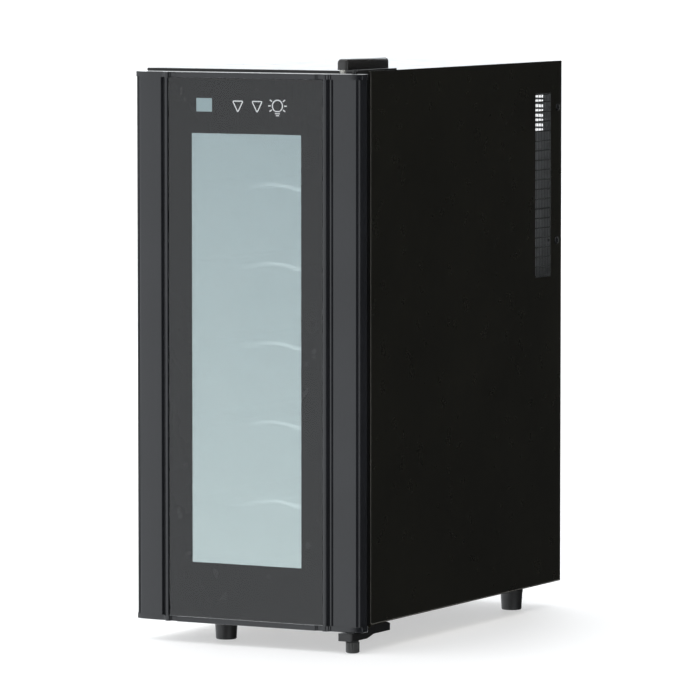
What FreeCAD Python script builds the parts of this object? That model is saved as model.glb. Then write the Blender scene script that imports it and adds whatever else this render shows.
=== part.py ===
"""Free-standing thermoelectric wine cooler with a glass door, five wire shelves and two fans.

Frame: millimetres, +Z up, the floor at Z = 0, the door facing -Y, the origin under the middle of
the cooler. Each size is a cell of the sheet "Sizes"; PLACES names what follows from them.
"""
import FreeCAD, Part
import math
import os
import re

import Sketcher

Vector = FreeCAD.Vector

SIZES = {
    # overall
    "overall_depth": 499, "cabinet_width": 276, "cabinet_height": 597, "foot_rise": 29,
    "bracket_reach": 5, "rear_standoff": 3,
    # cabinet walls
    "shell_wall": 1, "liner_wall": 1.5, "side_foam": 27.5, "back_foam": 20.5, "floor_depth": 35,
    "ceiling_depth": 34, "machine_depth": 76, "bulkhead_wall": 1, "frame_wall": 2, "base_wall": 1.5,
    "base_hang": 2.2, "base_inset": 4, "base_side_inset": 9, "fit_gap": 0.3,
    # ventilation openings
    "vent_width": 40, "vent_rear": 27, "vent_drop": 36, "vent_cell": 11, "vent_cells": 19,
    "vent_bar": 2, "vent_rib": 1, "vent_pitch": 4, "vent_sheet": 1.2,
    "grille_half": 115, "grille_drop": 34, "grille_slot": 3.2, "grille_pitch": 5.5, "grille_rows": 9,
    "fan_slot": 4, "fan_slot_pitch": 8, "fan_slot_rows": 11,
    # door
    "door_depth": 20, "door_drop": 6, "door_top_gap": 3, "seal_gap": 5.5, "cap_height": 6,
    "cap_overhang": 2, "cap_lip": 0.4, "cap_notch": 8, "column_width": 42.5, "column_depth": 17.5,
    "rib_width": 4.6, "rib_proud": 4, "rib_fall": 0.7, "valley_set": 1.1, "valley_width": 4,
    "shoulder_width": 5.9, "face_slope": 1.6, "bevel_width": 2.8, "rim_width": 1.9, "rim_set": 2.6,
    "column_wall": 3, "cavity_set": 6, "cavity_width": 34,
    "ledge": 14, "glass_wall": 4, "glass_proud": 3, "glass_edge": 0.5, "print_wall": 0.4,
    "window_width": 135, "window_drop": 66, "window_rise": 66.4, "inner_glass_wall": 4,
    "seal_width": 12, "seal_inset": 14, "display_width": 19.4, "display_height": 14.6,
    "display_left": 61.7, "display_drop": 42.6, "icon_line": 1.3, "icon_wall": 0.2, "icon_size": 13,
    "icon_shift": 1.7,
    # hinges
    "hinge_inset": 11, "hinge_set": 10, "pin_radius": 3, "pin_clearance": 0.08, "bushing_wall": 3,
    "bushing_height": 14, "plate_wall": 1.6, "cover_width": 13.2, "cover_height": 13.5,
    "cover_length": 95.5, "cover_inset": 17.8, "support_radius": 3.9, "support_inset": 12.7,
    "support_set": 8, "bracket_step": 3.4, "bracket_width": 17.7, "bracket_length": 87.6,
    "bracket_drop": 1.1, "bracket_thick": 8.1, "front_foot_radius": 7.5, "front_foot_shift": 2.4,
    # feet
    "foot_radius": 13, "foot_taper": 1.5, "rear_foot_inset": 33, "rear_foot_set": 59,
    "left_foot_inset": 84, "left_foot_set": 50,
    # shelves
    "shelf_count": 5, "shelf_rise": 90.2, "head_room": 91.8, "shelf_set": 60, "shelf_depth": 275,
    "wire_radius": 2, "rail_radius": 2.5, "wave_drop": 7.5, "rail_inset": 3.5,
    "ledge_width": 7, "ledge_height": 4,
    # cooling unit
    "unit_drop": 151, "module_side": 40, "module_wall": 4, "cold_side": 100, "cold_base": 5,
    "cold_fin": 18, "hot_width": 120, "hot_height": 150, "hot_base": 6, "hot_fin": 30,
    "fin_wall": 1.2, "fin_pitch": 8, "cold_fan_side": 80, "cold_fan_wall": 15, "hot_fan_side": 92,
    "hot_fan_wall": 25, "hub_radius": 15, "blade_gap": 1.5, "blade_wall": 1.4, "strut": 4,
    "strut_wall": 2, "blades": 7, "fan_cover_side": 130, "fan_cover_wall": 2, "fan_cover_gap": 5,
    # electrics
    "supply_width": 110, "supply_height": 80, "supply_depth": 38, "supply_rise": 110,
    "inlet_width": 28, "inlet_height": 22, "inlet_depth": 24, "inlet_side": 85, "inlet_rise": 72,
    "inlet_wall": 2, "contact_length": 14,
    "lamp_length": 120, "lamp_width": 10, "lamp_set": 50, "tray_wall": 1.5, "tray_rise": 7,
    # fasteners
    "screw_head": 4.2, "screw_head_height": 1.8, "screw_shank": 1.6, "screw_length": 8,
    "bracket_screw_length": 13,
}

PLACES = {
    "front": "bracket_reach - overall_depth / 2",
    "rear": "overall_depth / 2 - rear_standoff",
    "mouth": "front + door_depth + seal_gap",
    "side": "cabinet_width / 2",
    "inside": "side - shell_wall",
    "top": "foot_rise + cabinet_height",
    "base_under": "foot_rise - base_hang",
    "cavity_side": "inside - side_foam - liner_wall",
    "cavity_back": "rear - machine_depth - bulkhead_wall - back_foam - liner_wall",
    "cavity_low": "foot_rise + floor_depth",
    "cavity_high": "top - ceiling_depth",
    "liner_side": "cavity_side + liner_wall",
    "liner_low": "cavity_low - liner_wall",
    "liner_high": "cavity_high + liner_wall",
    "liner_back": "cavity_back + liner_wall",
    "foam_front": "mouth + frame_wall",
    "foam_back": "liner_back + back_foam",
    "machine_front": "foam_back + bulkhead_wall",
    "vent_back": "rear - vent_rear",
    "vent_high": "top - vent_drop",
    "vent_low": "vent_high - vent_cell * vent_cells",
    "door_low": "foot_rise - door_drop",
    "door_high": "top - door_top_gap",
    "column_low": "door_low + cap_height",
    "column_high": "door_high - cap_height",
    "column_inner": "side - column_width",
    "ledge_inner": "column_inner - ledge",
    "glass_front": "front - glass_proud",
    "glass_back": "glass_front + glass_wall",
    "ledge_front": "glass_back + print_wall",
    "column_back": "front + column_depth",
    "door_back": "front + door_depth",
    "glass_side": "column_inner - glass_edge",
    "window_low": "door_low + window_rise",
    "window_high": "door_high - window_drop",
    "display_low": "door_high - display_drop",
    "hinge_x": "side - hinge_inset",
    "hinge_y": "front + hinge_set",
    "bushing_radius": "pin_radius + pin_clearance + bushing_wall",
    "plate_low": "top",
    "bracket_top": "door_low - bracket_drop",
    "bracket_low": "bracket_top - bracket_thick",
    "unit_z": "top - unit_drop",
    "cold_front": "cavity_back - cold_base - cold_fin",
    "cold_fan_y": "cold_front - cold_fan_wall",
    "hot_back": "machine_front + hot_base + hot_fin",
    "hot_fan_y": "hot_back",
    "cover_front": "cold_fan_y - fan_cover_gap - fan_cover_wall",
    "wave_length": "cavity_side",
    "rail_x": "cavity_side - rail_inset",
    "shelf_pitch": "(cavity_high - cavity_low - shelf_rise - head_room) / (shelf_count - 1)",
}


def text(words):
    """The words as a document expression: places spelled out, sizes as cells of the sheet."""
    def spell(match):
        word = match.group(0)
        if word in PLACES:
            return "(" + text(PLACES[word]) + ")"
        return "Sizes." + word if word in SIZES else word
    return re.sub(r"[a-z_]+", spell, str(words))


def value(words):
    """The number that the words stand for now."""
    return float(sheet.evalExpression(text(words)))


def bind(thing, **sizes):
    """Ties properties of a document object to the sheet."""
    for name, words in sizes.items():
        thing.setExpression(name.replace("__", "."), text(words))


def place(thing, across=0, back=0, up=0):
    """Puts a sub-part at a point that follows the sheet."""
    bind(thing, Placement__Base__x=across, Placement__Base__y=back, Placement__Base__z=up)


def new_body(label):
    body = document.addObject("PartDesign::Body", label)
    body.Label = label
    return body


def hold(sketch, geometry, point, across, up):
    """Dimensions one point of a sketch from the sketch's origin."""
    for kind, words in (("DistanceX", across), ("DistanceY", up)):
        rule = Sketcher.Constraint(kind, -1, 1, geometry, point, value(words))
        number = sketch.addConstraint(rule)
        sketch.setExpression(f"Constraints[{number}]", text(words))


def polygon(*corners):
    """Draws a closed outline whose corners each follow the sheet."""
    def draw(sketch):
        spots = [Vector(value(across), value(up), 0) for across, up in corners]
        first = sketch.GeometryCount
        for start, end in zip(spots, spots[1:] + spots[:1]):
            sketch.addGeometry(Part.LineSegment(start, end), False)
        for number, (across, up) in enumerate(corners):
            before = first + (number - 1) % len(corners)
            sketch.addConstraint(Sketcher.Constraint("Coincident", before, 2, first + number, 1))
            hold(sketch, first + number, 1, across, up)
    return draw


def rectangle(left, right, low, high):
    return polygon((left, low), (right, low), (right, high), (left, high))


def circle(across, up, radius):
    def draw(sketch):
        centre = Vector(value(across), value(up), 0)
        number = sketch.addGeometry(Part.Circle(centre, Vector(0, 0, 1), value(radius)), False)
        hold(sketch, number, 3, across, up)
        rule = sketch.addConstraint(Sketcher.Constraint("Radius", number, value(radius)))
        bind(sketch, **{f"Constraints[{rule}]": radius})
    return draw


def new_sketch(body, plane, offset, *drawings):
    sketch = body.newObject("Sketcher::SketchObject", body.Name + "_outline")
    origin = [part for part in body.Origin.OriginFeatures if part.Role == plane + "_Plane"]
    sketch.AttachmentSupport = (origin[0], [""])
    sketch.MapMode = "FlatFace"
    sketch.setExpression("AttachmentOffset.Base.z", text(offset))
    for draw in drawings:
        draw(sketch)
    return sketch


def extrude(body, kind, plane, start, length, *drawings):
    """Pads or pockets outlines on a plane, from the start in the plane's positive direction."""
    offset = f"-({start})" if plane == "XZ" else start
    feature = body.newObject("PartDesign::" + kind, body.Name + "_" + kind.lower())
    feature.Profile = new_sketch(body, plane, offset, *drawings)
    feature.Reversed = (plane == "XZ") == (kind == "Pad")
    bind(feature, Length=length)
    body.Tip = feature
    return feature


def pad(body, plane, start, length, *drawings):
    return extrude(body, "Pad", plane, start, length, *drawings)


def pocket(body, plane, start, length, *drawings):
    """Cuts outlines away, and makes sure that the cut removed something."""
    document.recompute()
    before = body.Tip.Shape.Volume
    feature = extrude(body, "Pocket", plane, start, length, *drawings)
    document.recompute()
    assert feature.Shape.Volume < before, body.Label
    return feature


def repeat(body, feature, axis, pitch, count):
    """Repeats a feature in a row along its sketch's H_Axis or V_Axis."""
    pattern = body.newObject("PartDesign::LinearPattern", body.Name + "_row")
    pattern.Originals = [feature]
    pattern.Direction = (feature.Profile[0], [axis])
    bind(pattern, Length=f"({pitch}) * (({count}) - 1)", Occurrences=count)
    body.Tip = pattern
    return pattern


def round_edges(body, radius, pick):
    """Rounds the edges that pick accepts."""
    document.recompute()
    solid = body.Tip
    names = [f"Edge{n + 1}" for n, edge in enumerate(solid.Shape.Edges) if pick(edge)]
    assert names, body.Label
    fillet = body.newObject("PartDesign::Fillet", body.Name + "_round")
    fillet.Base = (solid, names)
    bind(fillet, Radius=radius)
    body.Tip = fillet


def runs(edge, axis, **at):
    """Tells whether a straight edge runs along an axis at the places given."""
    if edge.Curve.TypeId != "Part::GeomLine":
        return False
    direction = edge.Curve.Direction
    if abs(abs(getattr(direction, axis)) - 1) > 1e-6:
        return False
    return all(abs(getattr(edge.CenterOfMass, name) - value(words)) < 0.05 for name, words in at.items())


def block(label, left, right, near, far, low, high):
    box = document.addObject("Part::Box", label)
    box.Label = label
    bind(box, Length=f"({right}) - ({left})", Width=f"({far}) - ({near})", Height=f"({high}) - ({low})")
    place(box, left, near, low)
    return box


def rod(label, radius, across, back, low, high, direction=Vector(0, 0, 1)):
    """A cylinder; low and high are heights when it stands, else it starts at low and is high long."""
    cylinder = document.addObject("Part::Cylinder", label)
    cylinder.Label = label
    bind(cylinder, Radius=radius)
    standing = direction.z > 0.5
    cylinder.Placement.Rotation = FreeCAD.Rotation(Vector(0, 0, 1), direction)
    bind(cylinder, Height=f"({high}) - ({low})" if standing else high)
    place(cylinder, across, back, low)
    return cylinder


def joined(label, kind, parts):
    group = document.addObject(kind, label)
    group.Label = label
    setattr(group, "Links" if kind == "Part::Compound" else "Shapes", parts)
    return group


def screws(label, direction, spots, length="screw_length"):
    """Pan-head screws, one at each spot, with their heads standing out against the direction."""
    parts = []
    for number, (across, back, up) in enumerate(spots):
        screw = joined(f"{label}_{number}", "Part::MultiFuse", [
            rod(f"{label}_{number}_{name}", radius, 0, 0, start, end)
            for name, radius, start, end in (
                ("head", "screw_head", "-screw_head_height", "0"),
                ("shank", "screw_shank", "0", length))])
        screw.Placement.Rotation = FreeCAD.Rotation(Vector(0, 0, 1), direction)
        place(screw, across, back, up)
        parts.append(screw)
    return joined(label, "Part::Compound", parts)


# ---------------------------------------------------------------- cabinet


def make_outer_shell():
    """Folded sheet over the top and down both sides, with an opening for each side vent."""
    body = new_body("outer_shell")
    pad(body, "XZ", "mouth", "rear - mouth", polygon(
        ("-side", "foot_rise"), ("-inside", "foot_rise"), ("-inside", "top - shell_wall"),
        ("inside", "top - shell_wall"), ("inside", "foot_rise"), ("side", "foot_rise"),
        ("side", "top"), ("-side", "top")))
    pocket(body, "YZ", "-side - 1", "cabinet_width + 2",
           rectangle("vent_back - vent_width", "vent_back", "vent_low", "vent_high"))
    return body


def make_side_vent(label, start):
    """Louvre insert: horizontal bars with fine upright ribs behind them."""
    body = new_body(label)
    near = "vent_back - vent_width + fit_gap / 3"
    pad(body, "YZ", start, "vent_sheet",
        rectangle(near, "vent_back - fit_gap / 3", "vent_low + fit_gap / 3", "vent_high - fit_gap / 3"))
    cell = pocket(body, "YZ", f"{start} - 1", "vent_sheet + 2",
                  rectangle(f"{near} + vent_rib", f"{near} + vent_pitch",
                            "vent_low + vent_bar", "vent_low + vent_cell"))
    grid = repeat(body, cell, "V_Axis", "vent_cell", "vent_cells")
    grid.Direction2 = (cell.Profile[0], ["H_Axis"])
    columns = "floor((vent_width - vent_rib - fit_gap) / vent_pitch)"
    bind(grid, Length2=f"vent_pitch * ({columns} - 1)", Occurrences2=columns)
    return body


def make_base_plate():
    """Shallow pan that closes the cabinet below and carries the feet."""
    body = new_body("base_plate")
    pad(body, "XY", "base_under", "base_hang + base_wall",
        rectangle("-inside + base_side_inset", "inside - base_side_inset",
                  "mouth + base_inset", "rear - base_inset"))
    pocket(body, "XY", "base_under + base_wall", "base_hang + 1",
           rectangle("-inside + base_side_inset + base_wall", "inside - base_side_inset - base_wall",
                     "mouth + base_inset + base_wall", "rear - base_inset - base_wall"))
    return body


def make_front_frame():
    """Flat frame around the mouth, which the door seal closes on."""
    body = new_body("front_frame")
    pad(body, "XZ", "mouth", "frame_wall",
        rectangle("-inside", "inside", "foot_rise", "top - shell_wall"),
        rectangle("-liner_side", "liner_side", "liner_low", "liner_high"))
    return body


def make_inner_liner():
    """Moulded inner box, open to the front, with a ledge under each side of every shelf."""
    body = new_body("inner_liner")
    pad(body, "XZ", "mouth", "liner_back - mouth",
        rectangle("-liner_side", "liner_side", "liner_low", "liner_high"))
    pocket(body, "XZ", "mouth - 1", "cavity_back - mouth + 1",
           rectangle("-cavity_side", "cavity_side", "cavity_low", "cavity_high"))
    half = "module_side / 2"
    pocket(body, "XZ", "cavity_back - 1", "liner_wall + 2",
           rectangle(f"-{half}", half, f"unit_z - {half}", f"unit_z + {half}"))
    high = "cavity_low + shelf_rise - rail_radius - fit_gap"
    ledges = pad(body, "XZ", "front + shelf_set - 12", "shelf_depth + 30", *[
        rectangle(left, right, f"{high} - ledge_height", high)
        for left, right in (("-cavity_side", "-cavity_side + ledge_width"),
                            ("cavity_side - ledge_width", "cavity_side"))])
    repeat(body, ledges, "V_Axis", "shelf_pitch", "shelf_count")
    return body


def make_foam():
    """Foamed-in insulation between the liner and the outer walls."""
    body = new_body("foam_insulation")
    pad(body, "XZ", "foam_front", "foam_back - foam_front",
        rectangle("-inside", "inside", "foot_rise + base_wall", "top - shell_wall"))
    pocket(body, "XZ", "foam_front - 1", "liner_back - foam_front + 1",
           rectangle("-liner_side", "liner_side", "liner_low", "liner_high"))
    half = "module_side / 2"
    pocket(body, "XZ", "liner_back - 1", "back_foam + 2",
           rectangle(f"-{half}", half, f"unit_z - {half}", f"unit_z + {half}"))
    return body


def make_bulkhead():
    """Sheet between the insulation and the machine space, cut out for the cooling module."""
    body = new_body("rear_bulkhead")
    half = "module_side / 2"
    pad(body, "XZ", "foam_back", "bulkhead_wall",
        rectangle("-inside", "inside", "foot_rise + base_wall", "top - shell_wall"),
        rectangle(f"-{half}", half, f"unit_z - {half}", f"unit_z + {half}"))
    return body


def make_rear_cover():
    """Back sheet with a field of slots at the top, fan slots and the mains inlet opening."""
    body = new_body("rear_cover")
    pad(body, "XZ", "rear - shell_wall", "shell_wall",
        rectangle("-inside", "inside", "foot_rise + base_wall", "top - shell_wall"))
    start = "rear - shell_wall - 1"
    high = "top - grille_drop"
    wide = pocket(body, "XZ", start, "shell_wall + 2", *[
        rectangle(left, right, f"{high} - grille_slot", high)
        for left, right in (("-grille_half", "-grille_half / 3 - 3"),
                            ("-grille_half / 3 + 3", "grille_half / 3 - 3"),
                            ("grille_half / 3 + 3", "grille_half"))])
    rows = repeat(body, wide, "V_Axis", "grille_pitch", "grille_rows")
    rows.Reversed = True
    low = "unit_z - fan_slot_pitch * (fan_slot_rows - 1) / 2"
    narrow = pocket(body, "XZ", start, "shell_wall + 2",
                    rectangle("-hot_fan_side / 2 + 3", "hot_fan_side / 2 - 3",
                              f"{low} - fan_slot / 2", f"{low} + fan_slot / 2"))
    repeat(body, narrow, "V_Axis", "fan_slot_pitch", "fan_slot_rows")
    pocket(body, "XZ", start, "shell_wall + 2",
           rectangle("-inlet_side - inlet_width / 2", "-inlet_side + inlet_width / 2",
                     "inlet_rise - inlet_height / 2", "inlet_rise + inlet_height / 2"))
    return body


def make_rear_spacers():
    """Two bumpers that keep the cooler off the wall."""
    return joined("rear_spacers", "Part::Compound", [
        rod(f"rear_spacer_{name}", "foot_radius / 2", across, "rear", "foot_rise + 71",
            "rear_standoff", Vector(0, 1, 0))
        for name, across in (("left", "-inside + 9"), ("right", "inside - 9"))])


def make_foot(label, across, back):
    """Tapered foot under the base pan."""
    body = new_body(label)
    feature = body.newObject("PartDesign::Revolution", body.Name + "_turn")
    feature.Profile = new_sketch(body, "XZ", "0", polygon(
        ("0", "0"), ("foot_radius - foot_taper", "0"), ("foot_radius", "base_under - 4"),
        ("foot_radius", "base_under"), ("0", "base_under")))
    feature.ReferenceAxis = (feature.Profile[0], ["V_Axis"])
    body.Tip = feature
    place(body, across, back)
    return body


# ---------------------------------------------------------------- door


def mirrored(side_name, words):
    """The same place on the chosen side of the door."""
    return f"-({words})" if side_name == "left" else words


def make_column(side_name):
    """Upright door profile: a rib beside the glass, a finger valley and a broad sloping face."""
    body = new_body("column_" + side_name)
    def turned(*corners):
        return polygon(*[(mirrored(side_name, across), back) for across, back in corners])
    rib_end = "column_inner + rib_width"
    valley = f"{rib_end} + valley_width"
    shoulder = f"{valley} + shoulder_width"
    face_end = "side - rim_width - bevel_width"
    pad(body, "XY", "column_low", "column_high - column_low", turned(
        ("column_inner", "front - rib_proud + rib_fall"),
        ("column_inner + rib_width * 2 / 3", "front - rib_proud"), (rib_end, "front - rib_proud + 0.2"),
        (valley, "front + valley_set"), (shoulder, "front"), (face_end, "front + face_slope"),
        ("side - rim_width", "front + rim_set"), ("side", "front + rim_set"), ("side", "column_back"),
        ("ledge_inner", "column_back"), ("ledge_inner", "ledge_front"), ("column_inner", "ledge_front")))
    near = "front + cavity_set"
    pocket(body, "XY", "column_low - 1", "column_high - column_low + 2", turned(
        ("side - column_wall - cavity_width", near), ("side - column_wall", near),
        ("side - column_wall", "column_back - column_wall"),
        ("side - column_wall - cavity_width", "column_back - column_wall")))
    if side_name == "right":
        seat = "bushing_height - cap_height"
        for low in ("column_low", f"column_high - ({seat})"):
            pocket(body, "XY", low, seat, circle("hinge_x", "hinge_y", "bushing_radius"))
    round_edges(body, "1.2", lambda edge: any(
        runs(edge, "z", x=mirrored(side_name, across), y=back) for across, back in (
            (rib_end, "front - rib_proud + 0.2"), (valley, "front + valley_set"),
            (shoulder, "front"), (face_end, "front + face_slope"))))
    return body


def make_cap(label, low):
    """End cap that follows the front of the door, with a hole for the bushing."""
    body = new_body(label)
    wide, lip = "side + cap_overhang", "glass_front - cap_lip"
    rib_out = "column_inner + rib_width + valley_width - 0.6"
    half = [("column_inner - cap_notch - 1.5", lip), ("column_inner - cap_notch", f"{lip} + 2"),
            ("column_inner - 1.5", f"{lip} + 2"), ("column_inner", "front - rib_proud - cap_lip"),
            (rib_out, "front - rib_proud - cap_lip"), (f"{rib_out} + 2", "front - cap_lip"),
            ("side - rim_width - bevel_width", "front + face_slope - cap_lip"),
            (wide, "front + rim_set + 1.4"),
            (wide, "door_back")]
    pad(body, "XY", low, "cap_height",
        polygon(*half, *[(f"-({across})", back) for across, back in reversed(half)]))
    pocket(body, "XY", f"{low} - 1", "cap_height + 2",
           circle("hinge_x", "hinge_y", "bushing_radius"))
    round_edges(body, "column_wall + cap_overhang", lambda edge: any(
        runs(edge, "z", x=f"{turn}({wide})", y="door_back") for turn in ("-", "")))
    return body


def make_door_glass():
    """Front pane, from column to column and cap to cap."""
    return block("door_glass", "-glass_side", "glass_side", "glass_front", "glass_back",
                 "column_low", "column_high")


def window(grow="0"):
    half = f"window_width / 2 + {grow}"
    return rectangle(f"-({half})", half, f"window_low - {grow}", f"window_high + {grow}")


def make_glass_border():
    """Opaque print behind the front pane, open at the window and at the display."""
    body = new_body("glass_border")
    pad(body, "XZ", "glass_back", "print_wall",
        rectangle("-glass_side", "glass_side", "column_low", "column_high"), window(),
        rectangle("-display_left", "-display_left + display_width",
                  "display_low", "display_low + display_height"))
    return body


def make_door_core():
    """Filling of the door between the columns, with the window and a pocket for the controls."""
    body = new_body("door_core")
    pad(body, "XZ", "ledge_front", "column_back - ledge_front",
        rectangle("-ledge_inner", "ledge_inner", "column_low", "column_high"), window("4"))
    pocket(body, "XZ", "ledge_front - 1", "7",
           rectangle("-display_left - 4", "display_left - 4", "display_low - 5", "display_low + 22"))
    return body


def make_inner_glass():
    """Second pane, held by the core and the liner."""
    half = "window_width / 2 + 4"
    return block("inner_glass", f"-({half})", half, "column_back - inner_glass_wall", "column_back",
                 "window_low - 4", "window_high + 4")


def make_door_liner():
    """Thin inner face of the door."""
    body = new_body("door_liner")
    pad(body, "XZ", "column_back", "door_depth - column_depth",
        rectangle("-side + 2", "side - 2", "column_low", "column_high"), window())
    return body


def make_door_gasket():
    """Magnetic seal around the inner face, just clear of the front frame."""
    body = new_body("door_gasket")
    def ring(inset):
        half = f"side - seal_inset - {inset}"
        return rectangle(f"-({half})", half, f"foot_rise + seal_inset + {inset}",
                         f"door_high - seal_inset - {inset}")
    pad(body, "XZ", "door_back", "seal_gap - fit_gap", ring("0"), ring("seal_width"))
    return body


def make_display_lens():
    """Small display window set in the printed border."""
    return block("display_lens", "-display_left", "-display_left + display_width",
                 "glass_back", "ledge_front",
                 "display_low", "display_low + display_height")


def make_control_board():
    """Display and touch board in the pocket of the core."""
    return block("control_board", "-display_left - 2", "display_left - 6", "ledge_front",
                 "ledge_front + 3", "display_low - 3", "display_low + 20")


def make_touch_icons():
    """Outline marks on the glass: two triangles and a lamp."""
    start = "glass_front - icon_wall"
    parts = []
    high = "display_low + 12.2"
    for number, centre in enumerate(("icon_shift - 10.1", "icon_shift + 13.7")):
        body = new_body(f"icon_triangle_{number}")
        half = "icon_size / 2"
        thin = "icon_line * 1.15"
        pad(body, "XZ", start, "icon_wall",
            polygon((f"{centre} - {half}", high), (centre, f"{high} - icon_size"),
                    (f"{centre} + {half}", high)),
            polygon((f"{centre} - {half} + {thin} * 1.5", f"{high} - icon_line"),
                    (centre, f"{high} - icon_size + {thin} * 2"),
                    (f"{centre} + {half} - {thin} * 1.5", f"{high} - icon_line")))
        parts.append(body)
    centre = "icon_shift + 38.2"
    lamp = new_body("icon_lamp")
    middle = "display_low + 8"
    pad(lamp, "XZ", start, "icon_wall", circle(centre, middle, "icon_size / 2"),
        circle(centre, middle, "icon_size / 2 - icon_line"))
    parts.append(lamp)
    for number in range(2):
        low = f"{middle} - icon_size / 2 - 3 - {number} * 2.4"
        parts.append(block(f"icon_lamp_base_{number}", f"{centre} - 3.5 + {number}",
                           f"{centre} + 3.5 - {number}",
                           start, f"{start} + icon_wall", low, f"{low} + icon_line"))
    for number in range(6):
        turn = 1 if number % 2 else -1
        across = f"{centre} + ({turn}) * 10"
        up = f"{middle} + ({number // 2 - 1}) * 5.5"
        parts.append(block(f"icon_lamp_ray_{number}", f"{across} - 1.6", f"{across} + 1.6",
                           start, f"{start} + icon_wall", f"{up} - icon_line / 2",
                           f"{up} + icon_line / 2"))
    return joined("touch_icons", "Part::Compound", parts)


def make_bushing(label, low):
    """Plain sleeve in the door that turns on the hinge pin."""
    body = new_body(label)
    pad(body, "XY", low, "bushing_height", circle("hinge_x", "hinge_y", "bushing_radius"),
        circle("hinge_x", "hinge_y", "pin_radius + pin_clearance"))
    return body


# ---------------------------------------------------------------- hinges


def make_upper_plate():
    """Flat hinge plate screwed to the cabinet top, with a tongue that reaches over the door."""
    body = new_body("upper_hinge_plate")
    left, tongue = "hinge_x - cover_inset - 0.7", "hinge_x - support_inset + support_radius + 0.6"
    pad(body, "XY", "plate_low", "plate_wall", polygon(
        (left, "front + 13"), (tongue, "front + 13"), (tongue, "front + 2"), ("hinge_x + 8", "front + 2"),
        ("hinge_x + 8", "front + cover_length"), (left, "front + cover_length")),
        circle("hinge_x", "hinge_y", "pin_radius"))
    round_edges(body, "5", lambda edge: runs(edge, "z", y="front + 2")
                or runs(edge, "z", y="front + cover_length"))
    return body


def make_hinge_cover():
    """Long rounded cover over the hinge plate's screws."""
    body = new_body("hinge_cover")
    low = "plate_low + plate_wall"
    high = f"{low} + cover_height - plate_wall"
    left = "hinge_x - cover_inset"
    pad(body, "XZ", "front + 3", "cover_length",
        rectangle(left, f"{left} + cover_width", low, high))
    round_edges(body, "cover_width / 2 - 1.6", lambda edge: runs(edge, "y", z=high))
    round_edges(body, "2", lambda edge: runs(edge, "z", y="front + 3"))
    pocket(body, "XY", f"{low} - 1", "6", rectangle(
        f"{left} + 2", f"{left} + cover_width - 2", "front + 12", "front + cover_length - 3"))
    return body


def make_bracket():
    """Lower hinge bracket: thick under the door, stepped up to the base pan behind it."""
    body = new_body("lower_hinge_bracket")
    end = "front - bracket_reach + bracket_length"
    pad(body, "YZ", "hinge_x - bracket_width + 5", "bracket_width", polygon(
        ("front - bracket_reach", "bracket_low"), ("front + 30", "bracket_low"),
        ("front + 45", "bracket_low + bracket_step"), (end, "bracket_low + bracket_step"),
        (end, "base_under - 2"), (f"{end} - 6", "base_under"), ("mouth + base_inset + 9", "base_under"),
        ("mouth + base_inset + 4", "bracket_top"), ("front - bracket_reach", "bracket_top")))
    pocket(body, "XY", "bracket_low - 1", "bracket_thick + 2", circle("hinge_x", "hinge_y", "pin_radius"))
    round_edges(body, "2", lambda edge: runs(edge, "z", y="front - bracket_reach"))
    return body


def make_bracket_foot():
    """Ribbed foot under the bracket's front end."""
    body = new_body("bracket_foot")
    pad(body, "XY", "0", "bracket_low", circle("0", "0", "front_foot_radius"))
    rib = pocket(body, "XY", "1", "bracket_low - 3",
                 rectangle("front_foot_radius - 0.7", "front_foot_radius + 1", "-0.8", "0.8"))
    around = body.newObject("PartDesign::PolarPattern", "bracket_foot_ribs")
    around.Originals = [rib]
    around.Axis = (rib.Profile[0], ["N_Axis"])
    around.Angle = 360
    around.Occurrences = 16
    body.Tip = around
    place(body, "hinge_x - front_foot_shift", "hinge_y")
    return body


# ---------------------------------------------------------------- shelves


def wave_wire(back):
    """Round wire across the shelf, dipping between its crests in tangent arcs."""
    half, drop = value("wave_length / 4"), value("wave_drop / 2")
    bow = (half ** 2 + drop ** 2) / (2 * drop)
    end = value("rail_x")
    sag = lambda across: bow - math.sqrt(bow ** 2 - across ** 2)
    arcs = [((-half, -drop), (0, 0), (half, -drop))]
    for turn in (-1, 1):
        valley = turn * 2 * half
        crest = turn * 4 * half
        tail = abs(crest) - end
        arcs.append(((turn * half, -drop), (valley, -2 * drop), (turn * 3 * half, -drop)))
        middle = (half + tail) / 2
        arcs.append(((turn * 3 * half, -drop), (crest - turn * middle, -sag(middle)),
                     (crest - turn * tail, -sag(tail))))
    edges = [Part.Arc(*[Vector(x, back, z) for x, z in arc]).toShape() for arc in arcs]
    path = Part.Wire(Part.__sortEdges__(edges))
    start = path.OrderedVertexes[0].Point
    along = path.OrderedEdges[0].tangentAt(path.OrderedEdges[0].FirstParameter)
    ring = Part.Wire(Part.makeCircle(value("wire_radius"), start, along))
    return path.makePipeShell([ring], True, True)


def make_shelf(number):
    """Welded wire shelf: three wave wires, a rail at each side and wires from front to back."""
    set_back, depth, radius = value("shelf_set"), value("shelf_depth"), value("wire_radius")
    waves = [wave_wire(set_back + depth * share) for share in (0, 0.5, 1)]
    overhang = radius * 1.5
    rails = [Part.makeCylinder(value("rail_radius"), depth + 2 * overhang,
                               Vector(turn * value("rail_x"), set_back - overhang, 0), Vector(0, 1, 0))
             for turn in (-1, 1)]
    bars = []
    for across in (-80, -28, 28, 80):
        phase = 2 * math.pi * across / value("wave_length")
        up = -value("wave_drop / 2") * (1 - math.cos(phase)) - 1.2 * radius
        bars.append(Part.makeCylinder(radius * 0.75, depth + overhang,
                                      Vector(across, set_back - overhang / 2, up), Vector(0, 1, 0)))
    shelf = document.addObject("Part::Feature", f"shelf_{number + 1}")
    shelf.Shape = rails[0].multiFuse(rails[1:] + waves + bars)
    shelf.Label = f"shelf_{number + 1}"
    place(shelf, 0, "front", f"cavity_low + shelf_rise + shelf_pitch * {number}")
    return shelf


# ---------------------------------------------------------------- cooling unit


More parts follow.
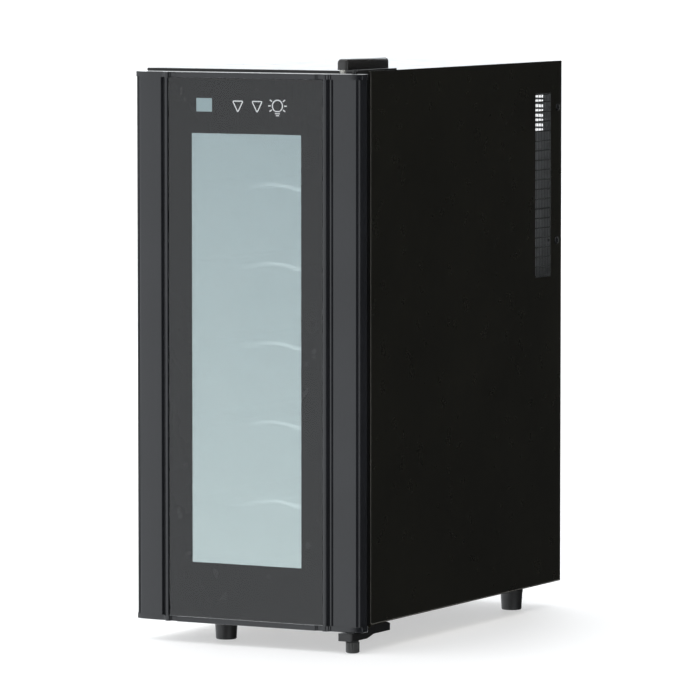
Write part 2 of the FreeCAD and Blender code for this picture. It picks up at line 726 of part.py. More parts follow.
def make_sink(label, start, wide, tall, base, fin, fins_forward):
    """Finned aluminium block: a base with upright fins on one side."""
    body = new_body(label)
    half = f"({wide}) / 2"
    low, high = f"unit_z - ({tall}) / 2", f"unit_z + ({tall}) / 2"
    pad(body, "XZ", start, base, rectangle(f"-{half}", half, low, high))
    fin_start = f"({start}) - ({fin})" if fins_forward else f"({start}) + ({base})"
    row = pad(body, "XZ", fin_start, fin, rectangle(f"-{half}", f"-{half} + fin_wall", low, high))
    repeat(body, row, "H_Axis", "fin_pitch", f"floor(({wide}) / fin_pitch)")
    return body


def make_fan_frame(label, side_words, wall, start):
    """Square fan frame with a motor seat on four struts."""
    body = new_body(label)
    half = f"{side_words} / 2"
    pad(body, "XZ", "0", wall, rectangle(f"-{half}", half, f"-{half}", half),
        circle("0", "0", f"{half} - 2"))
    reach = f"({half} - 1)"
    pad(body, "XZ", "0", "strut_wall", rectangle(f"-{reach}", reach, "-strut / 2", "strut / 2"))
    pad(body, "XZ", "0", "strut_wall", rectangle("-strut / 2", "strut / 2", f"-{reach}", reach))
    pad(body, "XZ", "0", "strut_wall + 0.5", circle("0", "0", "hub_radius"))
    place(body, 0, start, "unit_z")
    return body


def make_rotor(label, side_words, wall, start):
    """Fan rotor: a hub with flat pitched blades."""
    body = new_body(label)
    near = "(strut_wall + 0.5 + 2 * fit_gap)"
    deep = f"({wall} - {near} - 1)"
    hub = pad(body, "XZ", near, deep, circle("0", "0", "hub_radius"))
    reach = f"{side_words} / 2 - 2 - blade_gap - hub_radius"
    slant = "(hub_radius / 2)"
    blade = pad(body, "XY", "hub_radius - 3", f"{reach} + 2", polygon(
        (f"-{slant}", f"{near} + 0.6"), (f"-{slant} + blade_wall", f"{near} + 0.6"),
        (slant, f"{near} + {deep} - 0.6"), (f"{slant} - blade_wall", f"{near} + {deep} - 0.6")))
    around = body.newObject("PartDesign::PolarPattern", label + "_blades")
    around.Originals = [blade]
    around.Axis = (hub.Profile[0], ["N_Axis"])
    around.Angle = 360
    bind(around, Occurrences="blades")
    body.Tip = around
    place(body, 0, start, "unit_z")
    return body


def make_fan_cover():
    """Inner cover over the cold sink and its fan, slotted in front and open at its back."""
    body = new_body("fan_cover")
    half = "fan_cover_side / 2"
    pad(body, "XZ", "cover_front", "cavity_back - cover_front",
        rectangle(f"-{half}", half, f"unit_z - {half}", f"unit_z + {half}"))
    small = f"{half} - fan_cover_wall"
    pocket(body, "XZ", "cover_front + fan_cover_wall", "cavity_back - cover_front",
           rectangle(f"-({small})", small, f"unit_z - ({small})", f"unit_z + ({small})"))
    slot = pocket(body, "XZ", "cover_front - 1", "fan_cover_wall + 2", rectangle(
        "-cold_fan_side / 2 + 4", "cold_fan_side / 2 - 4",
        "unit_z - 4.5 * fin_pitch - 2", "unit_z - 4.5 * fin_pitch + 2"))
    repeat(body, slot, "V_Axis", "fin_pitch", "10")
    return body


def make_inlet():
    """Appliance inlet: a recess with three flat contacts."""
    body = new_body("mains_inlet")
    def mouth(inset):
        wide, tall = f"(inlet_width / 2 - {inset})", f"(inlet_height / 2 - {inset})"
        return rectangle(f"-inlet_side - {wide}", f"-inlet_side + {wide}",
                         f"inlet_rise - {tall}", f"inlet_rise + {tall}")
    pad(body, "XZ", "rear - inlet_depth", "inlet_depth", mouth("0"))
    pocket(body, "XZ", "rear - inlet_depth + inlet_wall", "inlet_depth", mouth("inlet_wall"))
    for across, up in ((-6, -2.5), (0, 2.5), (6, -2.5)):
        pad(body, "XZ", "rear - inlet_depth + inlet_wall - 0.5", "contact_length", rectangle(
            f"-inlet_side + ({across}) - 1", f"-inlet_side + ({across}) + 1",
            f"inlet_rise + ({up}) - 2", f"inlet_rise + ({up}) + 2"))
    return body


def make_drip_tray():
    """Loose shallow tray on the floor of the cavity."""
    body = new_body("drip_tray")
    def plan(inset):
        half = f"cavity_side - 3 - {inset}"
        return rectangle(f"-({half})", half, f"front + shelf_set - 12 + {inset}",
                         f"cavity_back - 60 - {inset}")
    pad(body, "XY", "cavity_low + fit_gap", "tray_rise", plan("0"))
    pocket(body, "XY", "cavity_low + fit_gap + tray_wall", "tray_rise", plan("tray_wall"))
    return body


# ---------------------------------------------------------------- the model


def make_parts():
    """Every sub-part, in the order of the list that names them."""
    half = "module_side / 2"
    side_spots = [(turn + "side", f"rear - {set_back}", up)
                  for turn in ("-", "") for set_back, up in (("11", "top - 53"), ("13", "top - 205"))]
    return [
        make_outer_shell(),
        make_side_vent("side_vent_left", "-side"),
        make_side_vent("side_vent_right", "side - vent_sheet"),
        make_base_plate(), make_front_frame(), make_inner_liner(), make_foam(), make_bulkhead(),
        make_rear_cover(), make_rear_spacers(),
        make_foot("front_left_foot", "-side + left_foot_inset", "front + left_foot_set"),
        make_foot("rear_left_foot", "-side + rear_foot_inset", "rear - rear_foot_set"),
        make_foot("rear_right_foot", "side - rear_foot_inset", "rear - rear_foot_set"),
        screws("side_screws_left", Vector(1, 0, 0), side_spots[:2]),
        screws("side_screws_right", Vector(-1, 0, 0), side_spots[2:]),
        screws("rear_screws", Vector(0, -1, 0), [
            (across, "rear", up) for across in ("-inside + 10", "inside - 10")
            for up in ("foot_rise + 20", "foot_rise + cabinet_height / 2", "top - 14")]),
        make_column("left"), make_column("right"),
        make_cap("cap_top", "column_high"), make_cap("cap_bottom", "door_low"),
        make_door_glass(), make_glass_border(), make_door_core(), make_inner_glass(),
        make_door_liner(), make_door_gasket(), make_display_lens(), make_control_board(),
        make_touch_icons(),
        make_bushing("upper_bushing", "door_high - bushing_height"),
        make_bushing("lower_bushing", "door_low"),
        make_upper_plate(),
        rod("upper_hinge_pin", "pin_radius", "hinge_x", "hinge_y", "door_high - bushing_height + 1",
            "plate_low + plate_wall + 0.6"),
        make_hinge_cover(),
        rod("cover_support", "support_radius", "hinge_x - support_inset", "front + support_set",
            "door_high + 2 * fit_gap", "plate_low + plate_wall"),
        screws("hinge_screws", Vector(0, 0, -1), [
            ("hinge_x - cover_inset + cover_width / 2", f"mouth + {set_back}", "plate_low + plate_wall")
            for set_back in (10, 32, 54)]),
        make_bracket(),
        rod("lower_hinge_pin", "pin_radius", "hinge_x", "hinge_y", "bracket_low",
            "door_low + bushing_height - 1"),
        make_bracket_foot(),
        screws("bracket_screws", Vector(0, 0, 1), [
            ("hinge_x - 4", f"mouth + {set_back}", "bracket_low + bracket_step") for set_back in (26, 44)],
            "bracket_screw_length"),
        *[make_shelf(number) for number in range(round(value("shelf_count")))],
        make_sink("cold_sink", "cavity_back - cold_base", "cold_side", "cold_side", "cold_base",
                  "cold_fin", True),
        block("cold_block", f"-{half}", half, "cavity_back", "machine_front - module_wall",
              f"unit_z - {half}", f"unit_z + {half}"),
        block("thermoelectric_module", f"-{half}", half, "machine_front - module_wall",
              "machine_front", f"unit_z - {half}", f"unit_z + {half}"),
        make_sink("hot_sink", "machine_front", "hot_width", "hot_height", "hot_base", "hot_fin", False),
        make_fan_frame("cold_fan_frame", "cold_fan_side", "cold_fan_wall", "cold_fan_y"),
        make_rotor("cold_fan_rotor", "cold_fan_side", "cold_fan_wall", "cold_fan_y"),
        make_fan_cover(),
        make_fan_frame("hot_fan_frame", "hot_fan_side", "hot_fan_wall", "hot_fan_y"),
        make_rotor("hot_fan_rotor", "hot_fan_side", "hot_fan_wall", "hot_fan_y"),
        block("power_supply", "-supply_width / 2", "supply_width / 2", "machine_front",
              "machine_front + supply_depth", "supply_rise", "supply_rise + supply_height"),
        make_inlet(),
        block("lamp_board", "-lamp_length / 2", "lamp_length / 2", "front + lamp_set",
              "front + lamp_set + lamp_width", "cavity_high - 1.6", "cavity_high"),
        block("lamp_lens", "-lamp_length / 2", "lamp_length / 2", "front + lamp_set",
              "front + lamp_set + lamp_width", "cavity_high - 5", "cavity_high - 1.6"),
        make_drip_tray(),
    ]


def check(parts):
    """Stops at a failed object or a shape that is not a sound solid."""
    document.recompute()
    failed = [thing.Label for thing in document.Objects if {"Invalid", "Error"} & set(thing.State)]
    assert not failed, failed
    for part in parts:
        shape = part.Shape
        assert not shape.isNull() and shape.isValid() and shape.Solids and shape.Volume > 0, part.Label


document = FreeCAD.newDocument("wine_cooler")
sheet = document.addObject("Spreadsheet::Sheet", "Sizes")
for row, (alias, number) in enumerate(SIZES.items(), start=1):
    sheet.set(f"A{row}", str(number))
    sheet.setAlias(f"A{row}", alias)
document.recompute()

made = make_parts()
check(made)
os.makedirs("parts", exist_ok=True)
for part in made:
    part.Shape.exportStep(f"parts/{part.Label}.step")
print(len(made), "sub-parts")
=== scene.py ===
"""Looks of the wine cooler: materials for the carried-over nodes and finer pieces in their place."""
import bpy
import math

import bmesh
from mathutils import Matrix, Vector


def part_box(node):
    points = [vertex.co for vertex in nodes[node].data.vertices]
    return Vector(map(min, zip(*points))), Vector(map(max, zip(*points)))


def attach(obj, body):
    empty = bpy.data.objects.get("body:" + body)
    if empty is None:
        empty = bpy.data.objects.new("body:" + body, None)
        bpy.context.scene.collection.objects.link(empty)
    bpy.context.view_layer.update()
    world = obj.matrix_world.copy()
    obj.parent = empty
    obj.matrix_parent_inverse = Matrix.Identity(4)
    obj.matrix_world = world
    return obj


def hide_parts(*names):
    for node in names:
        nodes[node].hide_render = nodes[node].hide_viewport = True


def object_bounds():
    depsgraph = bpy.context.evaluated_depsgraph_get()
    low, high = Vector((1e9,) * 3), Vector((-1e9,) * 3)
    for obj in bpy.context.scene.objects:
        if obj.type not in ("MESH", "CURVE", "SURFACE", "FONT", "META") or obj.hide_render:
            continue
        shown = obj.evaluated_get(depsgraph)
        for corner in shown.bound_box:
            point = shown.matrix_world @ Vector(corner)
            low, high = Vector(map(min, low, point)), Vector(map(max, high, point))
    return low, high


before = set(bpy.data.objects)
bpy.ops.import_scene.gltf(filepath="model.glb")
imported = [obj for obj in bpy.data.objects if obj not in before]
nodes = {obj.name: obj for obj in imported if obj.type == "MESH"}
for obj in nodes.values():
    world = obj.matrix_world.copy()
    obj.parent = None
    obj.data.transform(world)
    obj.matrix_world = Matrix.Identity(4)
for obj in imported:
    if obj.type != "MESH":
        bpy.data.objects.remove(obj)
cad_low, cad_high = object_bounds()
MM = 0.001
ON_AXIS = 0.1 * MM

# ---------------------------------------------------------------- materials


class Tree:
    """A short way to write a node tree."""

    def __init__(self, tree):
        self.tree = tree

    def add(self, kind, **values):
        node = self.tree.nodes.new(kind)
        for name, value in values.items():
            if name in node.inputs:
                node.inputs[name].default_value = value
            else:
                setattr(node, name, value)
        return node

    def link(self, start, end):
        self.tree.links.new(start, end)

    def span(self, value, start, end, low=0.0, high=1.0, **kind):
        """The value's stretch from start to end mapped to low to high, and held beyond it."""
        span = self.add("ShaderNodeMapRange", **kind)
        for name, mark in (("From Min", start), ("From Max", end), ("To Min", low), ("To Max", high)):
            span.inputs[name].default_value = mark
        self.link(value, span.inputs["Value"])
        return span.outputs["Result"]

    def combine(self, operation, first, second):
        node = self.add("ShaderNodeMath", operation=operation)
        self.link(first, node.inputs[0])
        if isinstance(second, float):
            node.inputs[1].default_value = second
        else:
            self.link(second, node.inputs[1])
        return node.outputs[0]

    def axis(self, vector, name):
        apart = self.add("ShaderNodeSeparateXYZ")
        self.link(vector, apart.inputs[0])
        return apart.outputs[name]


class Finish(Tree):
    """The node tree of a material, with its shader and the places on the surface."""

    def __init__(self, material):
        super().__init__(material.node_tree)
        self.material = material
        self.shader = self.tree.nodes["Principled BSDF"]
        spots = self.add("ShaderNodeTexCoord")
        self.place = spots.outputs["Object"]
        self.normal = spots.outputs["Normal"]

    def noise(self, scale, detail=3.0, stretch=(1, 1, 1)):
        """Noise over the surface; scale is in features per metre."""
        mapping = self.add("ShaderNodeMapping", Scale=stretch)
        self.link(self.place, mapping.inputs["Vector"])
        noise = self.add("ShaderNodeTexNoise", Scale=scale, Detail=detail)
        self.link(mapping.outputs["Vector"], noise.inputs["Vector"])
        return noise.outputs["Fac"]

    def spread(self, factor, low, high):
        """A noise's middle stretch mapped to the span from low to high."""
        return self.span(factor, 0.3, 0.7, low, high)

    def mix(self, factor, first, second):
        """A colour between two; the first may be a colour or another node's output."""
        mix = self.add("ShaderNodeMix", data_type="RGBA")
        if isinstance(first, tuple):
            mix.inputs["A"].default_value = (*first, 1)
        else:
            self.link(first, mix.inputs["A"])
        mix.inputs["B"].default_value = (*second, 1)
        self.link(factor, mix.inputs["Factor"])
        return mix.outputs["Result"]

    def bump(self, height, depth):
        """Raises the surface by depth metres where the height is one."""
        bump = self.add("ShaderNodeBump", Strength=1.0, Distance=depth)
        self.link(height, bump.inputs["Height"])
        self.link(bump.outputs["Normal"], self.shader.inputs["Normal"])

    def feed(self, name, source):
        self.link(source, self.shader.inputs[name])

    def set(self, **values):
        for name, value in values.items():
            self.shader.inputs[name.replace("_", " ")].default_value = value

    def glow(self, colour, strength):
        """Shines in a colour, with its strength from another node's output."""
        self.set(Emission_Color=(*colour, 1))
        self.feed("Emission Strength", strength)


def new_finish(name):
    material = bpy.data.materials.new(name)
    material.use_nodes = True
    return Finish(material)


def surface(name, colour, rough, vary=0.15, grain=700, depth=0.00001, stretch=(1, 1, 1), **shader):
    """A finish with drifting colour, uneven roughness and a fine surface grain."""
    made = new_finish(name)
    darker = tuple(channel * (1 - vary) for channel in colour)
    lighter = tuple(min(1.0, channel * (1 + vary)) for channel in colour)
    made.feed("Base Color", made.mix(made.spread(made.noise(9, 4.0), 0, 1), darker, lighter))
    made.feed("Roughness", made.spread(made.noise(45, 5.0), rough * 0.88, rough * 1.12))
    made.bump(made.noise(grain, 2.0, stretch), depth)
    made.set(**shader)
    return made.material


def clear_glass(name):
    """Clear glass with a trace of uneven polish."""
    made = new_finish(name)
    made.feed("Roughness", made.spread(made.noise(40, 4.0), 0.0, 0.02))
    made.feed("Base Color", made.mix(made.noise(20), (0.95, 0.98, 0.97), (0.98, 1.0, 0.99)))
    made.set(Transmission_Weight=1.0, IOR=1.5)
    return made.material


def part_mirror(name, foot_colour, head_colour, foot, head):
    """Coated glass: a part see-through layer whose colour runs from foot to head as a painted reflection,
    with faint streaks.
    """
    made = new_finish(name)
    painted_reflection_rise = made.span(made.axis(made.place, "Z"), foot, head)
    streaks = made.spread(made.noise(5, 3.0, (1, 1, 0.3)), -0.06, 0.06)
    made.feed("Base Color", made.mix(made.combine("ADD", painted_reflection_rise, streaks), foot_colour, head_colour))
    made.feed("Roughness", made.spread(made.noise(30, 4.0), 0.03, 0.06))
    made.set(Alpha=0.75, Metallic=0.85)
    return made.material


def two_sided(name, outside, inside, way):
    """Sheet painted on the side that faces along way and bare on the other."""
    made = Finish(surface(name, outside, 0.34, grain=1400, depth=0.000006))
    facing_way = made.add("ShaderNodeVectorMath", operation="DOT_PRODUCT")
    facing_way.inputs[1].default_value = way
    made.link(made.normal, facing_way.inputs[0])
    bare = made.span(facing_way.outputs["Value"], -0.3, -0.6)
    painted = made.shader.inputs["Base Color"].links[0].from_socket
    made.feed("Base Color", made.mix(bare, painted, inside))
    return made.material


def paint_top_highlight(material, strength):
    """A painted highlight on the top edge: a glow, standing in for its reflection, that turns bright when the
    edge is seen almost level and stays dark from above.
    """
    made = Finish(material)
    upward = made.span(made.axis(made.normal, "Z"), 0.85, 0.97)
    slant = made.add("ShaderNodeLayerWeight", Blend=0.5)
    level = made.span(slant.outputs["Facing"], 0.88, 0.92, 0, strength)
    made.glow((0.96, 0.98, 1.0), made.combine("MULTIPLY", upward, level))


def paint_glint(material, across, back, strength):
    """Paints a glint on a polished wire as a glow, a painted highlight past two places: from the first to the
    second of each pair.
    """
    made = Finish(material)
    right = made.span(made.axis(made.place, "X"), *across)
    front = made.span(made.axis(made.place, "Y"), *back)
    made.glow((0.9, 0.97, 1.0), made.combine("MULTIPLY", made.combine("MULTIPLY", right, front), strength))


PAINT = surface("cabinet_paint", (0.0088, 0.0082, 0.0054), 0.3, grain=500, depth=0.000002)
# The hem's paint is far lighter than the cabinet's: a painted highlight along the rolled edges.
HEM_PAINTED_HIGHLIGHT = surface("hem_painted_highlight", (0.10, 0.095, 0.085), 0.3, grain=1400, depth=0.000004)
INNER_SHEET = surface("zinc_sheet", (0.30, 0.31, 0.32), 0.42, grain=260, depth=0.000004, Metallic=0.9)
PROFILE = surface("door_profile", (0.011, 0.0115, 0.0135), 0.13, grain=160, depth=0.000003)
MOULDED = surface("moulded_plastic", (0.011, 0.011, 0.011), 0.42, grain=2200, depth=0.00002)
COVER = surface("hinge_cover_plastic", (0.024, 0.023, 0.022), 0.24, grain=1800, depth=0.00001)
PRINT = surface("glass_print", (0.014, 0.0145, 0.017), 0.25, grain=60, depth=0.0000005)
LINER = surface("liner_plastic", (0.50, 0.53, 0.54), 0.38, vary=0.04, grain=900, depth=0.00001)
FOAM = surface("foam", (0.72, 0.62, 0.40), 0.9, grain=500, depth=0.0002)
RUBBER = surface("rubber", (0.014, 0.014, 0.014), 0.55, grain=1600, depth=0.00002)
FOOT_GREY = surface("foot_plastic", (0.035, 0.035, 0.033), 0.4, grain=1200, depth=0.00002)
STEEL = surface("pin_steel", (0.55, 0.55, 0.56), 0.28, vary=0.08, grain=1200, depth=0.000006, Metallic=1.0)
CHROME_PAINTED_GLINT = surface("shelf_chrome_painted_glint", (0.62, 0.63, 0.65), 0.09, vary=0.05, grain=500, depth=0.000003, Metallic=1.0)
ALUMINIUM = surface("aluminium", (0.70, 0.71, 0.73), 0.36, vary=0.06, grain=600, depth=0.00001,
                    stretch=(1, 1, 0.05), Metallic=1.0)
SCREW = surface("screw_black", (0.03, 0.03, 0.032), 0.3, grain=1500, depth=0.00001, Metallic=0.8)
NYLON = surface("nylon", (0.70, 0.69, 0.64), 0.4, vary=0.05, grain=1200, depth=0.00001)
CERAMIC = surface("ceramic", (0.82, 0.82, 0.80), 0.6, vary=0.04, grain=1200, depth=0.00001)
BOARD = surface("circuit_board", (0.02, 0.13, 0.05), 0.4, grain=900, depth=0.00003)
INK = surface("icon_ink", (0.62, 0.64, 0.65), 0.35, vary=0.06, grain=900, depth=0.000002)
LAMP = surface("lamp_lens", (0.85, 0.88, 0.90), 0.5, vary=0.03, grain=900, depth=0.00001,
               Emission_Color=(0.80, 0.92, 1.0, 1), Emission_Strength=2.5)
# The display lens glows as painted light, standing in for the light that the front glass keeps from reaching
# it.
DISPLAY_PAINTED_GLOW = surface("display_glass_painted_glow", (0.36, 0.42, 0.44), 0.12, vary=0.05, grain=900, depth=0.000002,
                  Emission_Color=(0.30, 0.37, 0.39, 1), Emission_Strength=0.6)
VENT = surface("vent_plastic", (0.07, 0.073, 0.072), 0.45, grain=1500, depth=0.00001)
PANE = clear_glass("pane")
# The cap plastic carries a painted highlight: a glow along its top edge.
CAP_PAINTED_HIGHLIGHT = surface("cap_plastic_painted_highlight", (0.011, 0.0115, 0.0135), 0.13, grain=160, depth=0.000003)
paint_top_highlight(CAP_PAINTED_HIGHLIGHT, 0.6)


def dress(names, material):
    """Gives carried-over nodes their finish."""
    for name in names.split():
        nodes[name].active_material = material
        for slot in nodes[name].material_slots:
            slot.material = material


def soften(node, width, segments=2):
    """Rounds a node's hard edges a little."""
    bevel = nodes[node].modifiers.new("soft_edges", "BEVEL")
    bevel.width = width
    bevel.segments = segments
    bevel.limit_method = "ANGLE"
    bevel.angle_limit = math.radians(40)
    bevel.harden_normals = False


def smooth(piece, degrees=35):
    """Shades a mesh smooth, with its sharp edges kept."""
    mesh = piece.data
    edges = bmesh.new()
    edges.from_mesh(mesh)
    for edge in edges.edges:
        edge.smooth = len(edge.link_faces) != 2 or edge.calc_face_angle(0) < math.radians(degrees)
    for face in edges.faces:
        face.smooth = True
    edges.to_mesh(mesh)
    edges.free()


# ---------------------------------------------------------------- mesh helpers


def add_piece(name, mesh, body, material, replaced=(), bevel=0.0, degrees=35):
    """Links a mesh as a piece of the object that rides on a body."""
    piece = bpy.data.objects.new(name, mesh)
    bpy.context.scene.collection.objects.link(piece)
    mesh.materials.append(material)
    smooth(piece, degrees)
    if bevel:
        rounding = piece.modifiers.new("edges", "BEVEL")
        rounding.width = bevel
        rounding.segments = 3
        rounding.limit_method = "ANGLE"
        rounding.angle_limit = math.radians(degrees)
    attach(piece, body)
    if replaced:
        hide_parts(*replaced)
    return piece


def mesh_from(name, verts, faces):
    mesh = bpy.data.meshes.new(name)
    mesh.from_pydata([tuple(vert) for vert in verts], [], faces)
    fixed = bmesh.new()
    fixed.from_mesh(mesh)
    bmesh.ops.remove_doubles(fixed, verts=fixed.verts, dist=1e-6)
    bmesh.ops.recalc_face_normals(fixed, faces=fixed.faces)
    fixed.to_mesh(mesh)
    fixed.free()
    return mesh


def prism(outline, low, high, place):
    """Vertices and faces of an outline swept from low to high; place puts a point in space."""
    count = len(outline)
    verts = [place(across, up, level) for level in (low, high) for across, up in outline]
    faces = [tuple(range(count)), tuple(range(count, 2 * count))]
    faces += [(n, (n + 1) % count, count + (n + 1) % count, count + n) for n in range(count)]
    return verts, faces


def upright(across, back, level):
    return Vector((across, back, level))


def facing(across, up, level):
    return Vector((across, level, up))


def merge(parts):
    """One list of vertices and one of faces from several."""
    verts, faces = [], []
    for part_verts, part_faces in parts:
        start = len(verts)
        verts += part_verts
        faces += [tuple(start + index for index in face) for face in part_faces]
    return verts, faces


def stacked(count, rings):
    """Faces between rings of count vertices each, with both ends closed."""
    faces = [tuple(range(count)), tuple(range((rings - 1) * count, rings * count))]
    for row in range(rings - 1):
        for n in range(count):
            after = (n + 1) % count
            faces.append((row * count + n, row * count + after,
                          (row + 1) * count + after, (row + 1) * count + n))
    return faces


def lathe(outline, centre, axis="Z", steps=48):
    """Turns (radius, height) points about an upright axis, or one along Y, through the centre."""
    verts, faces = [], []
    for step in range(steps):
        turn = 2 * math.pi * step / steps
        for radius, height in outline:
            across, along = radius * math.cos(turn), radius * math.sin(turn)
            spot = (across, along, height) if axis == "Z" else (across, height, along)
            verts.append(centre + Vector(spot))
    count = len(outline)
    for step in range(steps):
        after = (step + 1) % steps
        for n in range(count - 1):
            faces.append((step * count + n, step * count + n + 1,
                          after * count + n + 1, after * count + n))
    return verts, faces


def arc(centre, radius, start, end, steps=8):
    """Points on an arc, with its angles in degrees."""
    turns = [math.radians(start + (end - start) * n / steps) for n in range(steps + 1)]
    return [(centre[0] + radius * math.cos(turn), centre[1] + radius * math.sin(turn)) for turn in turns]


def ease(points, steps=6):
    """A smooth line through points, by Catmull-Rom."""
    line = []
    padded = [points[0], *points, points[-1]]
    for before, start, end, after in zip(padded, padded[1:], padded[2:], padded[3:]):
        for step in range(steps):
            t = step / steps
            line.append(tuple(0.5 * (2 * b + (c - a) * t + (2 * a - 5 * b + 4 * c - d) * t ** 2
                                     + (3 * b - a - 3 * c + d) * t ** 3)
                              for a, b, c, d in zip(before, start, end, after)))
    return line + [points[-1]]


def tube(points, radius, closed=False, sides=12):
    """A round wire along points."""
    verts, faces = [], []
    count = len(points)
    normal = None
    for n, point in enumerate(points):
        ahead = points[(n + 1) % count] if closed or n < count - 1 else point
        behind = points[n - 1] if closed or n else point
        along = (ahead - behind).normalized()
        if normal is None:
            normal = along.orthogonal().normalized()
        normal = (normal - along * normal.dot(along)).normalized()
        side = along.cross(normal)
        for step in range(sides):
            turn = 2 * math.pi * step / sides
            verts.append(point + (normal * math.cos(turn) + side * math.sin(turn)) * radius)
    for n in range(count if closed else count - 1):
        after = (n + 1) % count
        for step in range(sides):
            faces.append((n * sides + step, n * sides + (step + 1) % sides,
                          after * sides + (step + 1) % sides, after * sides + step))
    if not closed:
        faces += [tuple(range(sides)), tuple(range((count - 1) * sides, count * sides))]
    return verts, faces


# ---------------------------------------------------------------- door

column_low, column_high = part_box("column_right")
cap_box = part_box("cap_top")
glass_low, glass_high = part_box("door_glass")
side = column_high.x
door_front = glass_low.y + 3 * MM
profile_start = glass_high.x + 0.5 * MM


def outward(marks):
    """Points of the door's section, from marks in millimetres past the glass and back from the front."""
    return [(profile_start + across * MM, door_front + back * MM) for across, back in marks]


def column_outline():
    """Half of the door's section: the rib, the valley, the sloping face and its rim, from the glass out."""
    marks = ((0, -3.4), (0.9, -3.9), (2.0, -4.0), (3.1, -4.0), (3.8, -3.5), (5.2, -1.5), (6.6, 0.6),
             (7.6, 1.5), (8.2, 1.5), (9.4, 0.8), (10.6, 0.2), (11.6, 0.0), (14.0, 0.05), (18.0, 0.25))
    bevel = ((5.0, 1.55), (4.4, 1.75), (2.5, 2.7), (2.1, 2.6))
    rim = ease([(side - inset * MM, door_front + back * MM) for inset, back in bevel], 4)
    bead = 1.1 * MM
    edge = arc((side - bead, door_front + 3.1 * MM), bead, 215, 360, 12)
    ledge = glass_high.y + 0.4 * MM
    back = [(side, column_high.y), (column_low.x, column_high.y), (column_low.x, ledge),
            (profile_start, ledge)]
    return ease(outward(marks), 5) + rim + edge + back


def make_columns():
    """Both side profiles, mirror images of each other."""
    outline = column_outline()
    for name, turn in (("column_left", -1), ("column_right", 1)):
        verts, faces = prism([(turn * across, back) for across, back in outline],
                             column_low.z, column_high.z, upright)
        add_piece(name + "_profile", mesh_from(name, verts, faces), "door", PROFILE,
                  [name], degrees=30)


def cap_outline():
    """The cap's plan: over the glass, the rib bump and the sloping face, with rounded back corners."""
    wide, deep = cap_box[1].x, cap_box[1].y
    marks = ((-9.5, -3.4), (-8.0, -1.4), (-1.6, -1.4), (-0.2, -4.2), (1.4, -4.4), (3.6, -4.3),
             (5.4, -3.0), (8.0, -0.4), (15.0, -0.4), (22.0, 0.0))
    front_corner, back_corner = 1.6 * MM, 5 * MM
    half = [(0, door_front - 3.4 * MM), *outward([(-14, -3.4)]), *ease(outward(marks), 4)]
    half.append((wide - 6.7 * MM, door_front + 1.2 * MM))
    half += arc((wide - front_corner, door_front + 5.2 * MM), front_corner, 285, 360, 6)
    half += arc((wide - back_corner, deep - back_corner), back_corner, 0, 90, 8)
    return half + [(-across, back) for across, back in reversed(half[1:])]


def make_caps():
    """Mouldings that close the door's top and bottom."""
    for name in ("cap_top", "cap_bottom"):
        low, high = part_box(name)
        verts, faces = prism(cap_outline(), low.z, high.z, upright)
        add_piece(name + "_moulding", mesh_from(name, verts, faces), "door", CAP_PAINTED_HIGHLIGHT,
                  [name], bevel=0.6 * MM, degrees=50)


def make_window_film():
    """Half-mirror coating behind the front glass, a little larger than the opening in the print."""
    low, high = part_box("inner_glass")
    # The film is lighter at its foot than at its head: a painted reflection.
    film = part_mirror("window_film", (0.425, 0.485, 0.485), (0.305, 0.37, 0.385), low.z, high.z)
    edge = 3.2 * MM
    outline = [(low.x + edge, low.z + edge), (high.x - edge, low.z + edge),
               (high.x - edge, high.z - edge), (low.x + edge, high.z - edge)]
    back = glass_high.y
    verts, faces = prism(outline, back + 0.1 * MM, back + 0.3 * MM, facing)
    add_piece("window_film", mesh_from("window_film", verts, faces), "door", film)


def rounded(points, radius, steps=4):
    """A closed outline with its corners rounded."""
    result = []
    count = len(points)
    for n, corner in enumerate(points):
        before = Vector(points[n - 1]) - Vector(corner)
        after = Vector(points[(n + 1) % count]) - Vector(corner)
        start = Vector(corner) + before.normalized() * radius
        end = Vector(corner) + after.normalized() * radius
        for step in range(steps + 1):
            t = step / steps
            point = start * (1 - t) ** 2 + Vector(corner) * 2 * t * (1 - t) + end * t ** 2
            result.append((point.x, point.y))
    return result


def line_mark(points, closed, width, level):
    """A flat drawn line on the glass, as a low rounded bead."""
    verts, faces = tube([Vector((across, 0, up)) for across, up in points], width / 2, closed, 8)
    flatness = 0.12
    return [Vector((vert.x, level + vert.y * flatness, vert.z)) for vert in verts], faces


def make_touch_marks():
    """Two triangles that point down and a lamp with rays."""
    low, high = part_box("touch_icons")
    level = glass_low.y - 0.1 * MM
    width = 1.25 * MM
    half_wide, tall, corner, bulb_radius = 6.3 * MM, 11.9 * MM, 1.6 * MM, 6.2 * MM
    parts = []
    top = high.z - 2.4 * MM
    for centre in (low.x + 6.1 * MM, low.x + 29.9 * MM):
        corners = [(centre - half_wide, top), (centre + half_wide, top), (centre, top - tall)]
        parts.append(line_mark(rounded(corners, corner), True, width, level))
    bulb = (high.x - 11.5 * MM, high.z - 6.9 * MM)
    parts.append(line_mark(arc(bulb, bulb_radius, -58, 238, 40), False, width, level))
    for down, half in ((5.9, 3.0), (8.3, 3.0), (10.4, 2.0)):
        ends = [(bulb[0] + turn * half * MM, bulb[1] - down * MM) for turn in (-1, 1)]
        parts.append(line_mark(ends, False, width * 0.9, level))
    for turn in (0, 35, -32, 180, 145, 212):
        way = Vector((math.cos(math.radians(turn)), math.sin(math.radians(turn))))
        ends = [Vector(bulb) + way * reach * MM for reach in (8.1, 11.4)]
        parts.append(line_mark([tuple(end) for end in ends], False, width, level))
    verts, faces = merge(parts)
    add_piece("touch_marks", mesh_from("touch_marks", verts, faces), "door", INK,
              ["touch_icons"])


